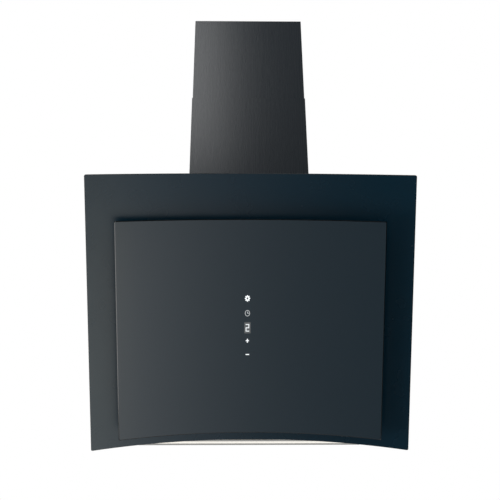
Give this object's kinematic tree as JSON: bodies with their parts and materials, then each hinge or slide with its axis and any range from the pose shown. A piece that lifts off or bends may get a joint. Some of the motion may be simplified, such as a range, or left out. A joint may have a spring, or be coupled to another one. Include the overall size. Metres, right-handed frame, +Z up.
{
  "type": "curved glass range hood",
  "caption": "Wall-mounted range hood with a bowed, leaning black glass, a hinged front glass with touch controls, a telescopic chimney and a light bar.",
  "frame": {"origin": "middle of the four wall holes, in the plane of the wall", "axes": "+X to the right seen from the room, +Y into the wall, +Z up"},
  "size_m": [0.6, 0.4548, 1.0145],
  "materials": {
    "aluminium": "satin",
    "black_glass": "gloss",
    "black_plastic": "matte",
    "black_screw": "satin",
    "board": "matte",
    "chimney_steel": "brushed",
    "filter_mesh": "knitted",
    "front_black_glass": "gloss",
    "grey_plastic": "matte",
    "lit_white": "gloss",
    "motor_steel": "satin",
    "opal": "satin",
    "painted_steel": "satin",
    "rubber": "matte",
    "screw_steel": "satin",
    "smoked_window": "gloss",
    "white_plastic": "matte",
    "zinc_steel": "satin"
  },
  "bodies": {
    "hood": {"back_glass": "black_glass", "back_panel": "painted_steel", "bottom_panel": "painted_steel", "cable_gland": "black_plastic", "capacitor": "grey_plastic", "casing_screws": "black_screw", "circuit_board": "board", "control_box": "white_plastic", "control_lid": "white_plastic", "damper_pin": "screw_steel", "filter_frame_left": "aluminium", "filter_frame_right": "aluminium", "filter_mesh_left": "filter_mesh", "filter_mesh_right": "filter_mesh", "filter_surround": "zinc_steel", "front_frame": "painted_steel", "glass_gasket": "rubber", "glass_screws": "screw_steel", "glass_washers": "white_plastic", "hinge_bracket_left": "zinc_steel", "hinge_bracket_right": "zinc_steel", "hinge_pins": "screw_steel", "hinge_screws": "screw_steel", "inlet_rings": "black_plastic", "led_channel": "aluminium", "led_diffuser": "opal", "led_end_caps": "grey_plastic", "led_strip": "white_plastic", "lower_chimney": "chimney_steel", "magnet_catches": "black_plastic", "motor": "motor_steel", "motor_bearings": "screw_steel", "motor_bracket": "zinc_steel", "outlet_adapter": "grey_plastic", "outlet_collar": "black_plastic", "panel_bumpers": "rubber", "scroll_left": "grey_plastic", "scroll_right": "grey_plastic", "side_panel_left": "painted_steel", "side_panel_right": "painted_steel", "top_panel": "painted_steel"},
    "front_panel": {"front_glass": "front_black_glass", "panel_carrier": "painted_steel", "hinge_arm_left": "zinc_steel", "hinge_arm_right": "zinc_steel", "strike_plates": "zinc_steel", "touch_housing": "black_plastic", "touch_board": "board", "control_symbols": "lit_white", "display_window": "smoked_window", "speed_digit": "lit_white"},
    "upper_chimney": {"upper_chimney": "chimney_steel", "chimney_bracket": "zinc_steel", "chimney_screws": "black_screw"},
    "impeller": {"impeller": "black_plastic", "motor_shaft": "screw_steel"},
    "damper_front": {"damper_flap_front": "grey_plastic"},
    "damper_rear": {"damper_flap_rear": "grey_plastic"},
    "filter_latch_left": {"filter_latch_left": "black_plastic"},
    "filter_latch_right": {"filter_latch_right": "black_plastic"}
  },
  "joints": [
    {"name": "front_panel_hinge", "type": "hinge", "parent": "hood", "child": "front_panel", "pos_m": [0, -0.39079, 0.11228], "axis": [-1, 0, 0], "range_deg": [0, 75]},
    {"name": "chimney_slide", "type": "slide", "parent": "hood", "child": "upper_chimney", "axis": [0, 0, 1], "range_m": [-0.19, 0.165]},
    {"name": "impeller_spin", "type": "hinge", "parent": "hood", "child": "impeller", "pos_m": [0, -0.08, 0.005], "axis": [1, 0, 0], "continuous": true},
    {"name": "damper_front_swing", "type": "hinge", "parent": "hood", "child": "damper_front", "pos_m": [0, -0.112, 0.166], "axis": [-1, 0, 0], "range_deg": [0, 75]},
    {"name": "damper_rear_swing", "type": "hinge", "parent": "hood", "child": "damper_rear", "pos_m": [0, -0.112, 0.166], "axis": [1, 0, 0], "range_deg": [0, 75]},
    {"name": "filter_latch_left_slide", "type": "slide", "parent": "hood", "child": "filter_latch_left", "axis": [0, -0.5948, 0.8039], "range_m": [0, 0.004], "stiffness_N_per_m": 250, "springref_m": -0.004},
    {"name": "filter_latch_right_slide", "type": "slide", "parent": "hood", "child": "filter_latch_right", "axis": [0, -0.5948, 0.8039], "range_m": [0, 0.004], "stiffness_N_per_m": 250, "springref_m": -0.004}
  ]
}
